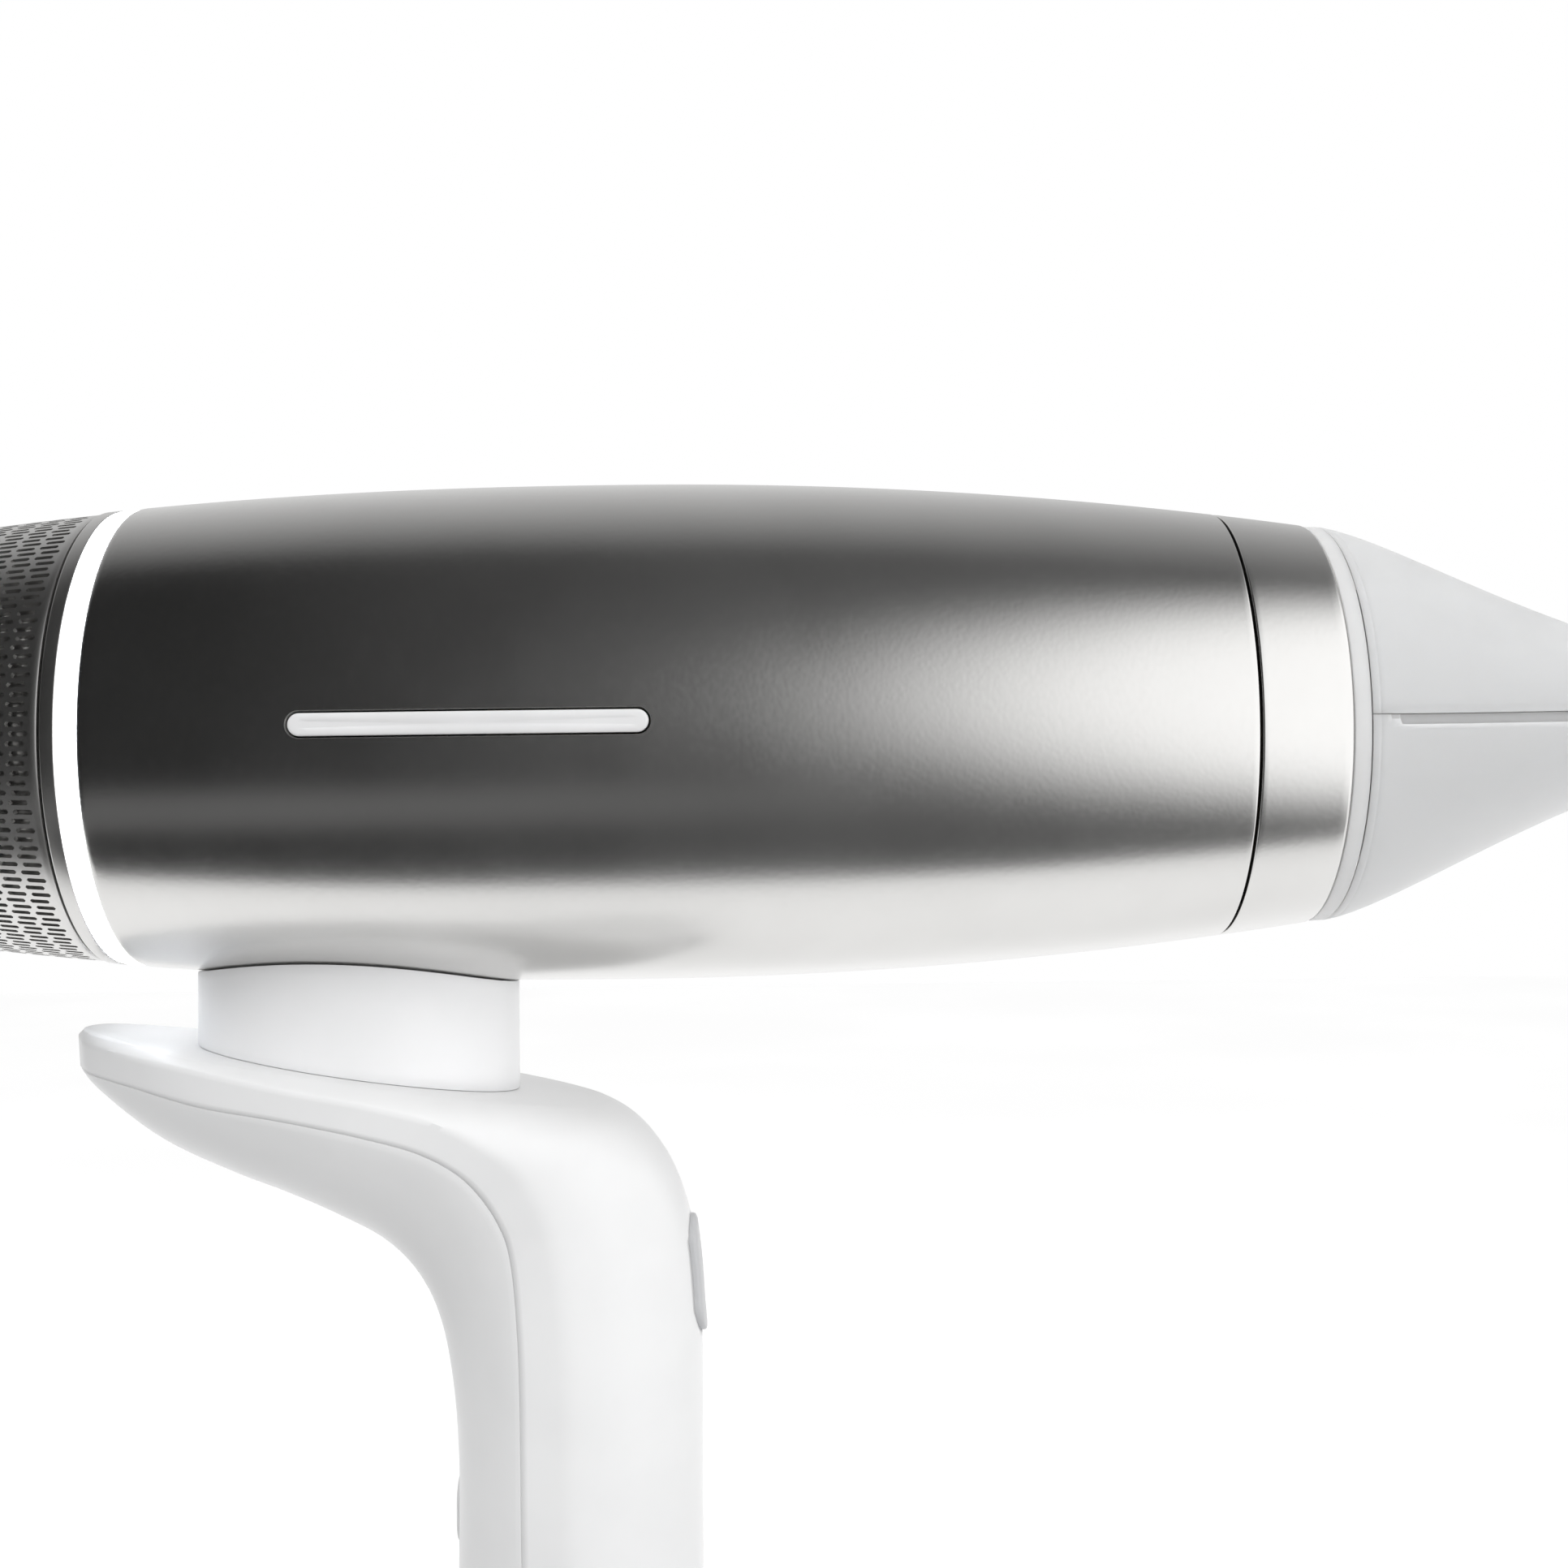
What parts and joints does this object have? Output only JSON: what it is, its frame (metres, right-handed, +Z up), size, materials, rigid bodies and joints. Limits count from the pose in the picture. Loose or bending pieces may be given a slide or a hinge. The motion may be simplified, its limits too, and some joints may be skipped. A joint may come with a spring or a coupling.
{
  "type": "hair dryer",
  "caption": "Barrel hair dryer with a satin metal casing, slotted intake cap, light ring, clip-on concentrator nozzle and an offset white handle with sliding and push controls.",
  "frame": {"origin": "middle of the grip, on the handle's middle plane", "axes": "+X the way the air leaves, +Z up from the handle to the barrel, +Y away from the side that carries the indicator bar"},
  "size_m": [0.283, 0.0779, 0.2389],
  "materials": {
    "satin_metal": "satin metal coat with a fine leather grain",
    "white_plastic": "white, soft gloss",
    "nozzle_plastic": "light grey, satin",
    "light_guide": "milky light guide, lit",
    "bar_guide": "milky light guide, unlit",
    "dark_plastic": "moulded, matt",
    "fan_plastic": "moulded nylon",
    "rubber": "soft, matt",
    "steel": "machined",
    "copper": "enamelled copper wire",
    "mica": "mica sheet",
    "board": "circuit board"
  },
  "bodies": {
    "casing": {"barrel_shell": "satin_metal", "front_collar": "satin_metal", "collar_magnet_1": "steel", "collar_magnet_2": "steel", "collar_magnet_3": "steel", "collar_magnet_4": "steel", "light_ring": "light_guide", "light_ring_board": "board", "rear_collar": "satin_metal", "indicator_bar": "bar_guide", "indicator_board": "board", "fan_duct": "dark_plastic", "duct_damper_rear": "rubber", "duct_damper_front": "rubber", "inlet_guard": "dark_plastic", "bearing_rear": "steel", "bearing_front": "steel", "motor_can": "dark_plastic", "stator_core": "steel", "winding_rear": "copper", "winding_front": "copper", "heater_sleeve": "mica", "mica_plate_upright": "mica", "mica_plate_flat": "mica", "heater_coil_rear": "steel", "heater_coil_front": "steel", "thermostat": "steel", "thermal_fuse": "steel", "ion_source": "dark_plastic", "outlet_grille": "dark_plastic", "neck_sleeve": "white_plastic", "handle_front_shell": "white_plastic", "handle_rear_cover": "white_plastic", "control_panel": "white_plastic", "control_board": "board", "heat_switch": "dark_plastic", "speed_switch": "dark_plastic", "cool_switch": "dark_plastic", "end_cap": "white_plastic", "cord_gland": "rubber", "wiring_loom": "rubber"},
    "rotor": {"impeller": "fan_plastic", "motor_shaft": "steel", "rotor_magnet": "steel"},
    "intake_cap_body": {"intake_cap": "satin_metal", "filter_basket": "dark_plastic"},
    "nozzle_seat": {"nozzle_base": "nozzle_plastic", "nozzle_steel_ring": "steel"},
    "nozzle_head": {"nozzle_upper_shell": "nozzle_plastic", "nozzle_lower_shell": "nozzle_plastic", "nozzle_inner_duct": "nozzle_plastic"},
    "heat_key": {"heat_button": "white_plastic"},
    "speed_key": {"speed_button": "white_plastic"},
    "slider": {"power_slider": "white_plastic"},
    "cool_key": {"cool_shot_button": "white_plastic"}
  },
  "joints": [
    {"name": "fan_spin", "type": "hinge", "parent": "casing", "child": "rotor", "pos_m": [-0.02, 0, 0.13991], "axis": [1, 0, 0], "continuous": true},
    {"name": "cap_pull", "type": "slide", "parent": "casing", "child": "intake_cap_body", "axis": [-1, 0, 0], "range_m": [0, 0.04]},
    {"name": "nozzle_pull", "type": "slide", "parent": "casing", "child": "nozzle_seat", "axis": [1, 0, 0], "range_m": [0, 0.06]},
    {"name": "nozzle_turn", "type": "hinge", "parent": "nozzle_seat", "child": "nozzle_head", "pos_m": [0.115, 0, 0.13991], "axis": [1, 0, 0], "continuous": true},
    {"name": "heat_press", "type": "slide", "parent": "casing", "child": "heat_key", "axis": [1, 0, 0], "range_m": [0, 0.0012], "stiffness_N_per_m": 800},
    {"name": "speed_press", "type": "slide", "parent": "casing", "child": "speed_key", "axis": [1, 0, 0], "range_m": [0, 0.0012], "stiffness_N_per_m": 800},
    {"name": "power_slide", "type": "slide", "parent": "casing", "child": "slider", "axis": [0, 0, 1], "range_m": [0, 0.008]},
    {"name": "cool_press", "type": "slide", "parent": "casing", "child": "cool_key", "axis": [-1, 0, 0], "range_m": [0, 0.0015], "stiffness_N_per_m": 800}
  ]
}
